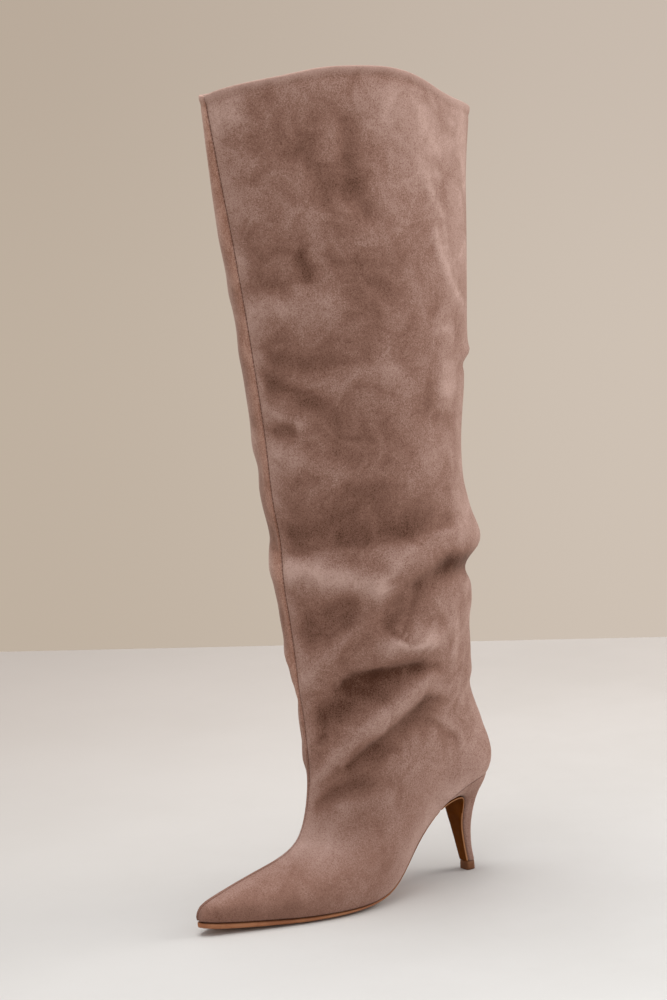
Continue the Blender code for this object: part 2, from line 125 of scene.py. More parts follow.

# Folds of the shaft: out is how far a fold stands out, or sinks in below zero. tone is how much lighter or
# darker it is painted: mostly painted light on its lit upper side and painted shade in its trough, partly the
# nap's own tone. half_width is how wide it is on its upper side, and under on its underside. path holds
# turns in degrees, from the front seam by the outer side to the back seam at 180, and heights.
Crease = namedtuple("Crease", "out tone half_width under path")
CREASES = [
    # upper shaft: a soft dent that hangs from the collar, with the stretched side right of it
    Crease(0.0, 0.28, 60, 70, [(10, 550), (90, 550), (165, 530)]),
    Crease(-1.2, -0.6, 13, 13, [(62, 552), (58, 530), (64, 506)]),
    Crease(-1.8, -0.8, 6, 6, [(75, 550), (74, 524), (74, 500), (78, 486)]),
    Crease(1.2, 0.45, 12, 12, [(92, 566), (98, 540), (100, 515)]),
    Crease(0.5, 0.45, 18, 18, [(130, 545), (128, 500), (122, 462)]),
    Crease(0.6, 0.6, 2.6, 2.6, [(102, 510), (105, 495), (109, 482)]),
    Crease(0.8, 0.7, 2.6, 2.6, [(104, 474), (107, 454), (112, 439), (117, 428), (126, 420)]),
    Crease(0.4, 0.35, 2.0, 2.0, [(100, 560), (104, 540), (110, 524)]),
    Crease(0.5, 1.2, 12, 10, [(0, 552), (14, 556), (28, 560)]),
    Crease(0.3, 0.25, 10, 8, [(26, 522), (42, 518)]),
    Crease(-0.2, -0.5, 7, 7, [(30, 561), (44, 566)]),
    Crease(0.3, 0.35, 10, 10, [(6, 496), (26, 493)]),
    Crease(-0.3, -0.4, 3, 3, [(98, 556), (99, 544)]),
    Crease(-1.2, -0.75, 5.5, 5.5, [(48, 461), (50, 446)]),
    Crease(-0.7, -0.6, 9, 8, [(4, 445), (20, 447), (34, 442)]),
    Crease(-0.4, -0.3, 3, 3, [(54, 455), (68, 456), (84, 452)]),
    Crease(1.1, 0.65, 8, 14, [(8, 424), (36, 430), (56, 430)]),
    Crease(-0.5, -0.4, 10, 10, [(80, 438), (88, 428)]),
    Crease(-0.3, -0.35, 5, 5, [(18, 420), (26, 420)]),
    Crease(-1.3, -0.75, 9, 9, [(20, 394), (34, 390), (52, 388)]),
    Crease(-0.9, -0.85, 7, 7, [(3, 382), (24, 375), (46, 361)]),
    Crease(0.7, 0.75, 4, 5, [(5, 361), (18, 354), (34, 348)]),
    Crease(0.6, 0.35, 9, 8, [(56, 372), (78, 378)]),
    Crease(-0.9, -0.9, 5, 5, [(3, 344), (16, 343), (28, 344)]),
    Crease(0.8, 0.6, 6, 9, [(4, 328), (24, 326), (52, 317)]),
    Crease(-0.5, -0.4, 9, 9, [(98, 350), (112, 343)]),
    Crease(0.5, 0.45, 9, 9, [(110, 446), (111, 420), (106, 390), (107, 362)]),
    # over the ankle, from the top down
    Crease(-1.7, -0.85, 22, 5, [(1, 256), (26, 262), (60, 266), (97, 266)]),
    Crease(1.8, 1.15, 7, 9, [(6, 245), (28, 246), (52, 241), (68, 233)]),
    Crease(1.1, 0.5, 6, 6, [(70, 236), (80, 248), (86, 254)]),
    Crease(0.8, 0.2, 8, 6, [(98, 262), (120, 262)]),
    Crease(-1.0, -1.45, 8, 9, [(110, 241), (120, 238), (134, 235), (166, 230)]),
    Crease(-1.9, -0.75, 13, 13, [(24, 204), (40, 210), (56, 216)]),
    Crease(-1.8, -0.95, 9, 8, [(76, 206), (82, 220), (92, 231), (104, 237)]),
    Crease(-0.8, -0.45, 3, 3, [(84, 200), (88, 214), (90, 228)]),
    Crease(1.4, 0.5, 5, 5, [(6, 164), (24, 172), (44, 189), (60, 207), (68, 230)]),
    Crease(-1.5, -1.2, 1.5, 1.5, [(77, 198), (81, 192), (85, 189), (91, 190)]),
    Crease(-0.8, -0.8, 1.3, 1.3, [(82, 197), (86, 193)]),
    Crease(0.8, 0.7, 1.5, 1.8, [(78, 192), (83, 186), (90, 186)]),
    Crease(-0.3, -0.35, 6, 6, [(54, 176), (62, 196)]),
    Crease(2.0, 0.9, 7, 6, [(76, 187), (84, 189), (96, 186)]),
    Crease(1.0, 0.4, 6, 6, [(94, 186), (112, 192)]),
    Crease(-2.7, -1.4, 4, 8, [(50, 163), (58, 167), (66, 168), (80, 168), (92, 168)]),
    Crease(-1.6, -1.15, 11, 11, [(32, 141), (48, 146), (66, 155)]),
    Crease(-0.7, -0.6, 2.4, 2.4, [(10, 118), (20, 121), (29, 126)]),
    Crease(2.2, 0.65, 6, 6, [(16, 94), (30, 102), (48, 121), (66, 135), (86, 151), (96, 160)]),
    Crease(-1.9, -1.05, 4, 11, [(52, 104), (68, 117), (82, 130), (96, 143)]),
    Crease(-1.6, -0.85, 4, 8, [(26, 78), (40, 86), (60, 90)]),
    Crease(0.8, 0.35, 5, 6, [(50, 76), (74, 76)]),
    Crease(0.6, 0.5, 1.8, 1.8, [(99, 131), (108, 124), (118, 113), (126, 101)]),
    Crease(-0.4, -0.3, 2.0, 2.0, [(97, 127), (106, 120), (115, 110), (122, 99)]),
    Crease(0.6, 0.35, 3, 3, [(112, 212), (118, 190), (116, 168)]),
    Crease(0.4, 0.15, 3, 3, [(128, 160), (124, 150), (117, 136)]),
    Crease(-0.4, -0.3, 8, 8, [(100, 128), (112, 112)]),
    # along the back edge, seen in outline
    Crease(1.8, 0.2, 4, 3, [(126, 385), (156, 385)]),
    Crease(-1.6, -0.2, 3, 4, [(120, 376), (156, 376)]),
    Crease(1.4, 0.2, 16, 10, [(126, 252), (160, 250)]),
    Crease(1.8, 0.35, 7, 8, [(128, 222), (160, 218)]),
    Crease(1.6, 0.1, 8, 8, [(136, 152), (166, 152)]),
    # the front edge beside the seam, seen in outline
    Crease(1.8, 0.0, 20, 26, [(352, 530), (346, 505), (342, 480)]),
    Crease(0.0, 0.45, 16, 16, [(350, 560), (347, 520), (346, 490)]),
    Crease(1.4, 0.0, 12, 12, [(322, 400), (342, 400)]),
    Crease(-1.4, 0.0, 10, 10, [(318, 312), (340, 312)]),
    Crease(2.0, 0.0, 8, 8, [(318, 207), (342, 207)]),
    # inner side
    Crease(-1.8, -0.5, 18, 8, [(355, 264), (320, 266), (280, 262), (240, 268)]),
    Crease(1.7, 0.5, 12, 8, [(352, 244), (310, 240), (270, 230), (230, 240)]),
    Crease(-2.0, -0.6, 10, 8, [(345, 208), (300, 206), (262, 216)]),
    Crease(1.6, 0.4, 7, 6, [(348, 176), (310, 186), (270, 200), (232, 204)]),
    Crease(-2.6, -1.0, 6, 11, [(340, 152), (300, 160), (262, 172)]),
    Crease(1.6, 0.4, 7, 6, [(338, 106), (300, 124), (262, 148)]),
    Crease(-1.5, -0.5, 7, 9, [(332, 90), (310, 80), (290, 74)]),
    Crease(-1.2, -0.4, 14, 10, [(330, 404), (290, 396), (250, 402)]),
    Crease(1.0, 0.4, 12, 8, [(325, 436), (280, 430)]),
    Crease(-1.2, -0.5, 10, 10, [(300, 560), (288, 520), (280, 480)]),
    Crease(1.0, 0.4, 12, 9, [(330, 330), (280, 322)]),
    Crease(-2.4, -1.0, 5, 7, [(248, 232), (228, 233), (195, 238)]),
]


# ---------------------------------------------------------------- finishes
class Wire:
    """One socket of a finish, so that sums on it read as plain arithmetic."""

    def __init__(self, finish, socket):
        self.finish = finish
        self.socket = socket

    def __add__(self, other):
        return self.finish.maths("ADD", self, other)

    def __radd__(self, other):
        return self.finish.maths("ADD", other, self)

    def __sub__(self, other):
        return self.finish.maths("SUBTRACT", self, other)

    def __rsub__(self, other):
        return self.finish.maths("SUBTRACT", other, self)

    def __mul__(self, other):
        return self.finish.maths("MULTIPLY", self, other)

    def __rmul__(self, other):
        return self.finish.maths("MULTIPLY", other, self)

    def __truediv__(self, other):
        return self.finish.maths("DIVIDE", self, other)


class Nodes:
    """A node tree with the shader at its end."""

    def __init__(self, owner, shader):
        owner.use_nodes = True
        self.tree = owner.node_tree
        self.shader = self.tree.nodes[shader]

    def node(self, kind, settings, values, output=0):
        """A node of that type, with its settings made first, then its sockets' values or links."""
        node = self.tree.nodes.new(kind)
        for name, value in settings.items():
            setattr(node, name, value)
        for name, value in values.items():
            self.feed(node.inputs[name], value)
        return Wire(self, node.outputs[output])

    def feed(self, socket, value):
        if isinstance(value, Wire):
            self.tree.links.new(value.socket, socket)
        elif socket.type == "RGBA":
            socket.default_value = (*value, 1)
        else:
            socket.default_value = value

    def set(self, socket, value):
        self.feed(self.shader.inputs[socket], value)

    def maths(self, operation, *values):
        return self.node("ShaderNodeMath", {"operation": operation}, dict(enumerate(values)))

    def place(self, kind="Object"):
        return self.node("ShaderNodeTexCoord", {}, {}, kind)

    def height(self, place):
        return self.node("ShaderNodeSeparateXYZ", {}, {0: place}, "Z")

    def reach(self, place, way):
        """How far a place lies along a direction."""
        settings = {"operation": "DOT_PRODUCT"}
        return self.node("ShaderNodeVectorMath", settings, {0: place, 1: way}, "Value")

    def stretched(self, place, scale):
        return self.node("ShaderNodeMapping", {}, {"Vector": place, "Scale": scale})

    def noise(self, place, scale, detail=2.0, roughness=0.5, distortion=0.0):
        values = {
            "Vector": place,
            "Scale": scale,
            "Detail": detail,
            "Roughness": roughness,
            "Distortion": distortion,
        }
        return self.node("ShaderNodeTexNoise", {}, values, "Fac")

    def cells(self, place, scale):
        values = {"Vector": place, "Scale": scale}
        return self.node("ShaderNodeTexVoronoi", {}, values, "Distance")

    def reading(self, name):
        """What the mesh carries under that name."""
        return self.node("ShaderNodeAttribute", {"attribute_name": name}, {}, "Fac")

    def step(self, value, start, end, low=0.0, high=1.0):
        """Goes smoothly from low to high while the value goes from start to end."""
        values = {"Value": value, "From Min": start, "From Max": end, "To Min": low, "To Max": high}
        return self.node("ShaderNodeMapRange", {"interpolation_type": "SMOOTHSTEP"}, values)

    def ramp(self, value, start, end):
        """Goes evenly from 0 to 1 while the value goes from start to end."""
        return self.node("ShaderNodeMapRange", {}, {"Value": value, "From Min": start, "From Max": end})

    def mix(self, share, first, second, blend="MIX"):
        settings = {"data_type": "RGBA", "blend_type": blend}
        return self.node("ShaderNodeMix", settings, {0: share, 6: first, 7: second}, 2)

    def bump(self, height, depth, strength=1.0):
        """Relief of a depth in metres, on the shader's normal."""
        values = {"Height": height, "Distance": depth, "Strength": strength}
        self.set("Normal", self.node("ShaderNodeBump", {}, values))


class Finish(Nodes):
    """A material with its shader, and the nodes that feed it."""

    def __init__(self, name, **constants):
        self.material = bpy.data.materials.new(name)
        super().__init__(self.material, "Principled BSDF")
        for socket, value in constants.items():
            self.shader.inputs[socket.replace("_", " ")].default_value = value


# Colours, as shares of red, green and blue light.
SUEDE_DEEP = (0.034, 0.01, 0.004)
SUEDE_DARK = (0.082, 0.032, 0.018)
SUEDE_MID = (0.261, 0.14, 0.104)
SUEDE_LIGHT = (0.53, 0.362, 0.31)
SHEEN_TINT = (1.0, 0.8, 0.7)
STITCH_BROWN = (0.085, 0.03, 0.018)
STRIP_WARMTH = (1.21, 1.11, 1.03)  # the seam strip against the rest

# How much each thing counts in the suede's tone or colour.
CLOUD_SHARE = 0.55
PATCH_SHARE = 0.7
GRAIN_SHARE = 0.34
FIBRE_SHARE = 0.75
SPECK_SHARE = 0.2
NAP_AND_PAINTED_LIGHT_SHARE = 0.34
STRIP_GRAIN_SHARE = 0.4
STITCH_SHARE = 0.9
EDGE_HIGHLIGHT_SHARE = 0.5

LINING_DARK = (0.36, 0.24, 0.17)
LINING_LIGHT = (0.5, 0.36, 0.26)
LINING_THREAD = (0.26, 0.17, 0.12)
FLOOR_CLOUD_DARK = (0.625, 0.595, 0.557)
FLOOR_CLOUD_LIGHT = (0.68, 0.65, 0.616)
FLOOR_SPECK = (0.56, 0.535, 0.5)
FLOOR_LEFT_SHADE = (0.53, 0.49, 0.45)  # painted shade on the floor to the left of the view
FLOOR_FAR_SHADE = (0.93, 0.89, 0.86)  # painted warm shade on the far floor, against the rest
FLOOR_NEAR_LIGHT = (1.03, 1.06, 1.08)  # painted light on the near floor, against the rest
# The backdrop is painted darker to the left and lighter to the right, as painted shade and light on it.
BACKDROP_DARK = (0.52, 0.435, 0.35)
BACKDROP_LIGHT = (0.625, 0.54, 0.46)
BACKDROP_TOP = (0.93, 0.92, 0.92)  # painted shade at the backdrop's top, against its foot
DOME_WHITE = (0.5, 0.5, 0.52)
TAN_LOOK = {"light": (0.42, 0.185, 0.09), "dark": (0.27, 0.1, 0.045), "rough": 0.5}
TOP_PIECE_LOOK = {"light": (0.24, 0.1, 0.045), "dark": (0.13, 0.05, 0.02), "rough": 0.5}
# The heel breast's face is painted a dark brown for the shade it lies in under the arch; its cut edge keeps a
# tan.
BREAST_SHADE_LOOK = {
    "light": (0.17, 0.05, 0.005),
    "dark": (0.1, 0.026, 0.002),
    "rough": 0.6,
    "cut_edge": (0.4, 0.19, 0.09),
    "gloss": 0.03,
}
TO_THE_RIGHT = (0.5817, 0.8117, 0.0)  # level, to the right across the view
TO_THE_FRONT = (0.8117, -0.5817, 0.0)  # level, from the backdrop towards the camera


def suede_tone(finish, place, height, lie):
    """How light the nap lies, with the grain and the fibres that are in it."""
    cloud = finish.noise(place, scale=14.0, detail=3.0, roughness=0.5, distortion=0.4)
    patch = finish.noise(place, scale=48.0, detail=4.0, roughness=0.6, distortion=0.8)
    grain = finish.noise(place, scale=620.0, detail=3.0, roughness=0.7)
    fibre = finish.noise(place, scale=1500.0, detail=2.0, roughness=0.6)
    speck = finish.step(finish.noise(place, scale=1000.0, detail=2.0, roughness=0.6), 0.5, 0.68)
    broad_share = finish.step(height, 0.04, 0.14, 0.55, 1.0)
    fine_share = finish.step(height, 0.03, 0.12, 0.68, 1.0)
    broad = (cloud - 0.5) * CLOUD_SHARE + (patch - 0.5) * PATCH_SHARE
    fine = (grain - 0.5) * GRAIN_SHARE + (fibre - 0.5) * FIBRE_SHARE - speck * SPECK_SHARE
    return lie + broad * broad_share + fine * fine_share, grain, fibre


def suede_colour(finish, tone):
    """From the deepest brown, where the tone is lowest, to the palest."""
    deep = finish.mix(finish.ramp(tone, -0.5, 0.0), SUEDE_DEEP, SUEDE_DARK)
    low = finish.mix(finish.ramp(tone, 0.0, 0.5), deep, SUEDE_MID)
    return finish.mix(finish.ramp(tone, 0.5, 1.0), low, SUEDE_LIGHT)


def with_seams(finish, colour, height, strip):
    """Stitches in the seams' grooves, the warmer strip beside the front seam, and the painted highlight along
    the collar's edge and the seam ridge.
    """
    start, end = STITCH_GROOVE
    groove = finish.step(finish.reading("seam_across"), start * MM, end * MM, 1.0, 0.0)
    beat = finish.maths("FRACT", finish.reading("seam_along") / (STITCH_PITCH * MM))
    dash = finish.step(finish.maths("ABSOLUTE", beat - 0.5), *STITCH_END, 1.0, 0.0)
    dark = groove * (STITCH_GAP + (1 - STITCH_GAP) * dash)
    dark = dark * finish.step(height, 0.1, 0.24, 0.6, 1.0)
    colour = finish.mix(dark * STITCH_SHARE, colour, STITCH_BROWN)
    colour = finish.mix(strip, colour, STRIP_WARMTH, "MULTIPLY")
    # Painted highlight along the collar's edge and the seam ridge.
    return finish.mix(finish.reading("edge_highlight") * EDGE_HIGHLIGHT_SHARE, colour, SUEDE_LIGHT)


def suede_finish(name, seams, lie=0.55):
    """Brushed imitation suede, and on the upper the painted light and shade of creases, sides and foot, the
    seams and the strip beside one.
    """
    finish = Finish(name, Roughness=0.95, Sheen_Weight=0.22, Sheen_Roughness=0.4)
    finish.set("Sheen Tint", SHEEN_TINT)
    finish.set("Specular IOR Level", 0.12)
    place = finish.place()
    height = finish.height(place)
    tone, grain, fibre = suede_tone(finish, place, height, lie)
    if seams:
        strip = finish.reading("strip")
        # Painted light and shade of the creases, the sides and the foot, with some of the nap's own tone.
        tone = tone + finish.reading("nap_and_painted_light") * NAP_AND_PAINTED_LIGHT_SHARE
        tone = tone + strip * (grain - 0.5) * STRIP_GRAIN_SHARE
        colour = with_seams(finish, suede_colour(finish, tone), height, strip)
    else:
        colour = suede_colour(finish, tone)
    finish.set("Base Color", colour)
    finish.bump(grain * 0.4 + fibre * 0.6, 0.3 * MM, 0.6)
    return finish.material


def lining_finish():
    """Soft brushed lining, a little lighter than the suede."""
    finish = Finish("lining_beige", Roughness=0.9, Sheen_Weight=0.2)
    place = finish.place()
    weave = finish.cells(finish.stretched(place, (1.0, 1.0, 0.6)), 900.0)
    cloud = finish.noise(place, scale=20.0, detail=3.0)
    colour = finish.mix(finish.step(cloud, 0.3, 0.7), LINING_DARK, LINING_LIGHT)
    colour = finish.mix(finish.step(weave, 0.2, 0.8, 0.0, 0.3), colour, LINING_THREAD)
    finish.set("Base Color", colour)
    finish.bump(weave, 0.2 * MM)
    return finish.material


def sole_finish(name, light, dark, rough, cut_edge=None, gloss=0.2):
    """Smooth firm stuff with faint scuffs and an uneven stain, and its cut edge in a colour of its own."""
    finish = Finish(name, Specular_IOR_Level=gloss)
    place = finish.place()
    cloud = finish.noise(place, scale=45.0, detail=4.0, roughness=0.6, distortion=0.5)
    pores = finish.cells(place, 1400.0)
    colour = finish.mix(finish.step(cloud, 0.3, 0.75), dark, light)
    colour = finish.mix(finish.step(pores, 0.0, 0.3, 0.25, 0.0), colour, dark)
    if cut_edge:
        colour = finish.mix(finish.reading("cut_edge"), colour, cut_edge)
    scuff = finish.noise(finish.stretched(place, (1.0, 6.0, 6.0)), scale=90.0, detail=5.0, roughness=0.7)
    finish.set("Base Color", colour)
    finish.set("Roughness", finish.step(scuff, 0.35, 0.7, rough, rough + 0.2))
    finish.bump(pores, 0.08 * MM)
    return finish.material


def floor_finish():
    """Pale matt studio floor with faint clouds, painted shade to the left, painted warm shade far off and
    painted cool light near by.
    """
    finish = Finish("pale_floor", Roughness=0.75, Specular_IOR_Level=0.2)
    place = finish.place()
    cloud = finish.noise(place, scale=2.2, detail=5.0, roughness=0.6)
    speck = finish.noise(place, scale=60.0, detail=3.0, roughness=0.6)
    colour = finish.mix(finish.step(cloud, 0.3, 0.7), FLOOR_CLOUD_DARK, FLOOR_CLOUD_LIGHT)
    colour = finish.mix(finish.step(speck, 0.55, 0.8, 0.0, 0.12), colour, FLOOR_SPECK)
    side = finish.reach(place, TO_THE_RIGHT)
    colour = finish.mix(finish.step(side, -0.6, 0.3, 0.9, 0.0), colour, FLOOR_LEFT_SHADE)
    near = finish.reach(place, TO_THE_FRONT)
    floor_light_tint = finish.mix(finish.step(near, -0.9, 0.25), FLOOR_FAR_SHADE, FLOOR_NEAR_LIGHT)
    finish.set("Base Color", finish.mix(1.0, colour, floor_light_tint, "MULTIPLY"))
    return finish.material


# ---------------------------------------------------------------- mesh work
def alone(piece):
    """Selects one piece and nothing else."""
    bpy.ops.object.select_all(action="DESELECT")
    piece.hide_set(False)
    piece.select_set(True)
    bpy.context.view_layer.objects.active = piece


def copied(node, name):
    """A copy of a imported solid, with its doubles merged and its triangles paired into quads."""
    piece = bpy.data.objects.new(name, frame["nodes"][node].data.copy())
    bpy.context.scene.collection.objects.link(piece)
    piece.data.name = name
    piece.data.materials.clear()
    alone(piece)
    bpy.ops.object.mode_set(mode="EDIT")
    bpy.ops.mesh.select_all(action="SELECT")
    bpy.ops.mesh.remove_doubles(threshold=0.001 * MM)
    bpy.ops.mesh.tris_convert_to_quads(
        face_threshold=math.pi, shape_threshold=math.pi, topology_influence=2.0
    )
    bpy.ops.mesh.customdata_custom_splitnormals_clear()
    bpy.ops.object.mode_set(mode="OBJECT")
    return piece


def split_skin(solid, inside, name):
    """Moves one smooth skin of a hollow solid, up to its sharp edges, to a piece of its own."""
    alone(solid)
    bpy.ops.object.mode_set(mode="EDIT")
    bpy.ops.mesh.select_mode(type="EDGE")
    bpy.ops.mesh.select_all(action="DESELECT")
    bpy.ops.mesh.edges_select_sharp(sharpness=math.radians(RIM_BEND))
    bpy.ops.mesh.mark_seam()
    bpy.ops.mesh.select_mode(type="FACE")
    bpy.ops.mesh.select_all(action="DESELECT")
    shell = bmesh.from_edit_mesh(solid.data)
    widest = [f for f in shell.faces if (f.normal.x < 0) == inside]
    max(widest, key=lambda face: face.calc_center_median().x).select_set(True)
    bmesh.update_edit_mesh(solid.data)
    bpy.ops.mesh.select_linked(delimit={"SEAM"})
    bpy.ops.mesh.separate(type="SELECTED")
    bpy.ops.object.mode_set(mode="OBJECT")
    skin = next(piece for piece in bpy.context.selected_objects if piece != solid)
    skin.name = name
    return skin


def column_below(start):
    """The points of the mesh that lie straight below a point of the collar's edge."""
    edge = next(edge for edge in start.link_edges if not edge.is_boundary)
    line = [start]
    while edge:
        beside = set(edge.link_faces)
        here = edge.other_vert(line[-1])
        line.append(here)
        onward = [e for e in here.link_edges if not e.is_boundary and beside.isdisjoint(e.link_faces)]
        edge = onward[0] if onward else None
    return line


def edge_ring(shell, top):
    """The points of the collar's edge, or of the feather edge, from the front by the outer side all round."""

    def beside(point):
        return [edge.other_vert(point) for edge in point.link_edges if edge.is_boundary]

    edge = [v for v in shell.verts if v.is_boundary and (v.co.z > COLLAR_FLOOR) == top]
    ring = [min(edge, key=lambda v: v.co.y)]
    here = max(beside(ring[0]), key=lambda v: v.co.x)
    while here != ring[0]:
        ring.append(here)
        here = next(v for v in beside(here) if v != ring[-2])
    return ring


def edge_line(piece, top):
    """The places of an open edge's points, in order and closed."""
    shell = bmesh.new()
    shell.from_mesh(piece.data)
    ring = edge_ring(shell, top)
    line = np.array([tuple(point.co) for point in [*ring, ring[0]]])
    shell.free()
    return line


def mark_turns(skin):
    """Stores each point's turn round the shaft, as a sine and a cosine that carry over to new points."""
    shell = bmesh.new()
    shell.from_mesh(skin.data)
    sine = shell.verts.layers.float.new("turn_sine")
    cosine = shell.verts.layers.float.new("turn_cosine")
    ring = edge_ring(shell, True)
    for number, start in enumerate(ring):
        turn = 2 * math.pi * number / len(ring)
        for point in column_below(start):
            point[sine] = math.sin(turn)
            point[cosine] = math.cos(turn)
    shell.to_mesh(skin.data)
    shell.free()


def turns_of(skin):
    """Degrees round the shaft from the front seam by the outer side to the back seam at 180."""
    return np.degrees(np.arctan2(read(skin, "turn_sine"), read(skin, "turn_cosine"))) % 360


def mark_seams(skin):
    """Marks the front and the back seam, and adds lines of mesh beside them and under the collar."""
    alone(skin)
    bpy.ops.object.mode_set(mode="EDIT")
    bpy.ops.mesh.select_mode(type="EDGE")
    shell = bmesh.from_edit_mesh(skin.data)
    marks = [shell.verts.layers.float.new(name) for name in ("front_seam", "back_seam")]
    top = edge_ring(shell, True)
    starts = (min(top, key=lambda v: v.co.y), max(top, key=lambda v: v.co.y))
    for edge in shell.edges:
        edge.select_set(False)
    for mark, start in zip(marks, starts):
        line = column_below(start)
        for point in line:
            point[mark] = 1.0
        for point in line:
            for edge in point.link_edges:
                if edge.other_vert(point) not in line:
                    edge.select_set(True)
    bmesh.update_edit_mesh(skin.data)
    bpy.ops.mesh.subdivide(number_cuts=SEAM_CUTS)
    shell = bmesh.from_edit_mesh(skin.data)
    for edge in shell.edges:
        ends = [v.is_boundary and v.co.z > COLLAR_FLOOR for v in edge.verts]
        edge.select_set(ends[0] != ends[1])
    bmesh.update_edit_mesh(skin.data)
    bpy.ops.mesh.subdivide(number_cuts=COLLAR_CUTS)
    bpy.ops.object.mode_set(mode="OBJECT")


def subdivided(piece, levels):
    """Applies that many levels of a subdivision surface."""
    alone(piece)
    smooth = piece.modifiers.new("smooth", "SUBSURF")
    smooth.levels = levels
    smooth.render_levels = levels
    bpy.ops.object.modifier_apply(modifier=smooth.name)
    piece.data.shade_smooth()


def vectors_of(piece, kind):
    """The place of each point of the mesh, for the kind "co", or the way that it faces, for "normal"."""
    vectors = np.empty(len(piece.data.vertices) * 3, np.float32)
    piece.data.vertices.foreach_get(kind, vectors)
    return vectors.reshape(-1, 3).astype(float)


def points_of(piece):
    return vectors_of(piece, "co")


def normals_of(piece):
    return vectors_of(piece, "normal")


def move_points(piece, points):
    piece.data.vertices.foreach_set("co", points.astype(np.float32).ravel())
    piece.data.update()


def write(piece, name, values):
    """Stores one number for each point of the mesh."""
    layer = piece.data.attributes.get(name) or piece.data.attributes.new(name, "FLOAT", "POINT")
    layer.data.foreach_set("value", np.asarray(values, np.float32))


def read(piece, name):
    values = np.empty(len(piece.data.vertices), np.float32)
    piece.data.attributes[name].data.foreach_get("value", values)
    return values


def marked_line(piece, name, order):
    """The points of a marked seam, from the collar down."""
    line = points_of(piece)[read(piece, name) > 0.999]
    return line[np.argsort(-order(line))]


def nearest_on(line, points):
    """For each point, how far along the line its nearest point lies, and the way from there to the point."""
    starts = line[:-1]
    steps = line[1:] - starts
    lengths = np.linalg.norm(steps, axis=1)
    before = np.concatenate([[0], np.cumsum(lengths)[:-1]])
    nearest = np.full(len(points), np.inf)
    along = np.zeros(len(points))
    away = np.zeros((len(points), 3))
    for start, step, length, gone in zip(starts, steps, lengths, before):
        share = np.clip((points - start) @ step / length**2, 0, 1)
        gap = points - start - share[:, None] * step
        distance = np.linalg.norm(gap, axis=1)
        closer = distance < nearest
        nearest[closer] = distance[closer]
        along[closer] = gone + share[closer] * length
        away[closer] = gap[closer]
    return nearest, along, away


class Shape:
    """The upper's two seams, and the way round it at each height."""

    HEIGHTS = np.linspace(0.06, 0.57, 52)
    BAND = 8 * MM  # half the height of the band that each width is taken from

    def __init__(self, skin):
        self.front = marked_line(skin, "front_seam", lambda p: p[:, 2] + p[:, 1])
        self.back = marked_line(skin, "back_seam", lambda p: p[:, 2])
        points = points_of(skin)
        widths = [np.ptp(points[np.abs(points[:, 2] - z) < self.BAND, 0]) for z in self.HEIGHTS]
        self.girths = math.pi * (np.array(widths) + self.depth(self.HEIGHTS)) / 2

    def seam_y(self, line, z):
        order = np.argsort(line[:, 2])
        return np.interp(z, line[order, 2], line[order, 1])

    def depth(self, z):
        return self.seam_y(self.back, z) - self.seam_y(self.front, z)

    def girth(self, z):
        return np.interp(z, self.HEIGHTS, self.girths)


def bell(value, centre, half):
    """1 at the centre, falling off smoothly to both sides."""
    return np.exp(-(((value - centre) / half) ** 2))


def rise(value, start, length):
    """Goes from 0 at the start to 1 over that length."""
    return np.clip((value - start) / length, 0, 1)


def turned(turn, middle):
    """How many degrees a turn lies on from another, the short way round."""
    return (turn - middle + 180) % 360 - 180


def creases(shape, turn, z):
    """How far the creases push the upper out, and the painted light and shade along them, partly the nap's
    own tone.
    """
    out = np.zeros_like(z)
    tone = np.zeros_like(z)
    girth = shape.girth(z)
    for crease in CREASES:
        path = np.array(crease.path, float)
        middle = path[:, 0].mean()
        heights = path[:, 1] * MM
        sideways = turned(turn, middle) / 360 * girth
        flat = np.stack([sideways, z, np.zeros_like(z)], axis=1)
        steps = (path[:, 0] - middle) / 360 * shape.girth(heights)
        line = np.stack([steps, heights, np.zeros_like(heights)], axis=1)
        distance, _, away = nearest_on(line, flat)
        half = np.where(away[:, 1] >= 0, crease.half_width, crease.under) * MM
        share = np.exp(-((distance / half) ** 2))
        out += crease.out * MM * share
        tone += crease.tone * share
    calm = 1 - bell(turned(turn, 0) / 360 * girth, 0, SEAM_CALM * MM)
    return out * calm, tone * (SEAM_TONE + (1 - SEAM_TONE) * calm)


def seam_relief(off, front_along):
    """How far the seams and the turned edges stand out at points that lie so far off each of those lines."""
    pucker = 1
    for strength, length, start in PUCKER_WAVES:
        pucker = pucker + strength * np.sin(front_along / (length * MM) + start)
    relief = np.zeros_like(front_along)
    for ridge in RIDGES:
        form = bell(off[ridge.line], ridge.off * MM, ridge.half_width * MM)
        relief += ridge.out * MM * form * (pucker if ridge.puckered else 1)
    return relief


def foot_shade(points, over_feather):
    """Painted light over the instep and low on the waist, painted shade low on the toe's sides."""
    along, up = points[:, 1], points[:, 2]
    toe = TOE_PAINTED_SHADE * bell(over_feather, 2 * MM, 13 * MM) * rise(-along, -10 * MM, 50 * MM)
    instep = INSTEP_PAINTED_LIGHT * bell(along, INSTEP_MIDDLE[0] * MM, INSTEP_HALF[0] * MM)
    instep = instep * bell(up, INSTEP_MIDDLE[1] * MM, INSTEP_HALF[1] * MM)
    waist = WAIST_PAINTED_LIGHT * bell(over_feather, 4 * MM, 8 * MM) * rise(along, 20 * MM, 20 * MM)
    return toe + instep + waist


